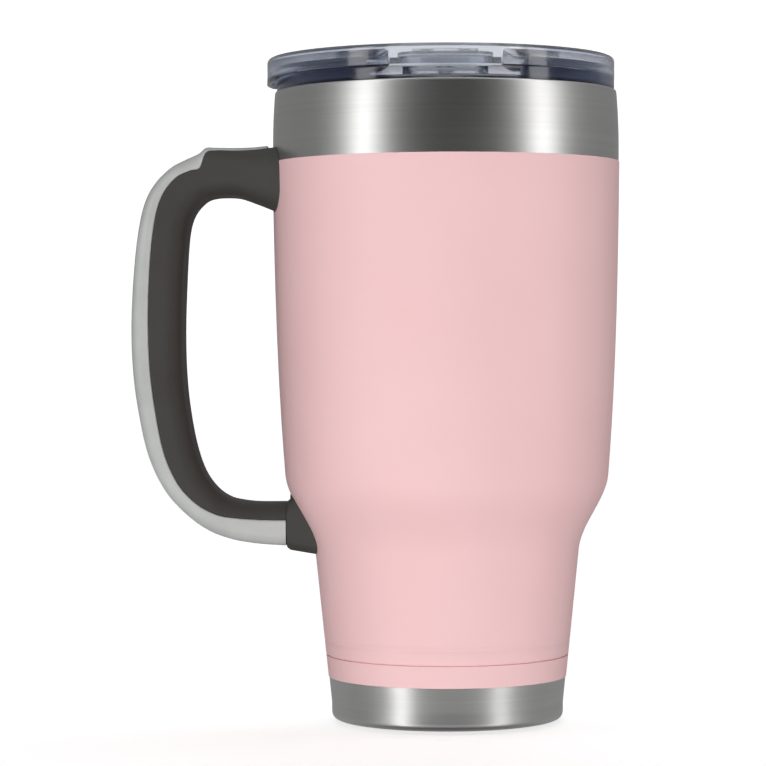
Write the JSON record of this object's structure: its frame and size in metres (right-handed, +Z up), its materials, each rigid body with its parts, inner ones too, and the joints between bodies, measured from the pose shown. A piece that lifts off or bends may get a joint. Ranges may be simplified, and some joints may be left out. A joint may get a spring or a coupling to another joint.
{
  "type": "insulated travel mug",
  "caption": "Double-walled steel travel mug with a powder-coated body, a two-tone side handle and a clear press-in lid with a flip-up flap over the drink opening.",
  "frame": {"origin": "centre of the resting face under the cup, on the cup's axis", "axes": "+Z up along the cup's axis, handle toward -X, drink opening toward -Y"},
  "size_m": [0.1425, 0.1018, 0.1937],
  "materials": {
    "pad_silicone": "matt moulded silicone",
    "steel": "brushed round the axis",
    "getter_metal": "sintered pellet in a cup",
    "solder_glass": "fused glass solder",
    "pink_coat": "satin powder coat with a fine texture",
    "core_nylon": "glass-filled nylon",
    "grip_charcoal": "soft-touch",
    "spine_grey": "satin moulded",
    "fastener_steel": "plain stainless",
    "clear_silicone": "translucent silicone",
    "smoke_clear": "clear smoke-tinted copolyester"
  },
  "bodies": {
    "cup": {"non_slip_pad": "pad_silicone", "base_cap": "steel", "vacuum_base": "steel", "getter": "getter_metal", "vacuum_seal": "solder_glass", "outer_shell": "steel", "powder_coat": "pink_coat", "inner_liner": "steel", "upper_bracket": "steel", "lower_bracket": "steel", "handle_core": "core_nylon", "handle_grip": "grip_charcoal", "handle_spine": "spine_grey", "handle_screws": "fastener_steel", "handle_washers": "fastener_steel"},
    "gasket": {"lid_gasket": "clear_silicone"},
    "lid": {"lid_body": "smoke_clear", "hinge_pin": "fastener_steel"},
    "flap": {"closure_flap": "smoke_clear", "drink_seal": "clear_silicone", "vent_seal": "clear_silicone"}
  },
  "joints": [
    {"name": "lid_lift", "type": "slide", "parent": "cup", "child": "gasket", "axis": [0, 0, 1], "range_m": [0, 0.06]},
    {"name": "lid_turn", "type": "hinge", "parent": "gasket", "child": "lid", "pos_m": [0, 0, 0.178], "axis": [0, 0, 1], "continuous": true},
    {"name": "flap_open", "type": "hinge", "parent": "lid", "child": "flap", "pos_m": [0, 0.003, 0.1902], "axis": [-1, 0, 0], "range_deg": [0, 165]}
  ]
}
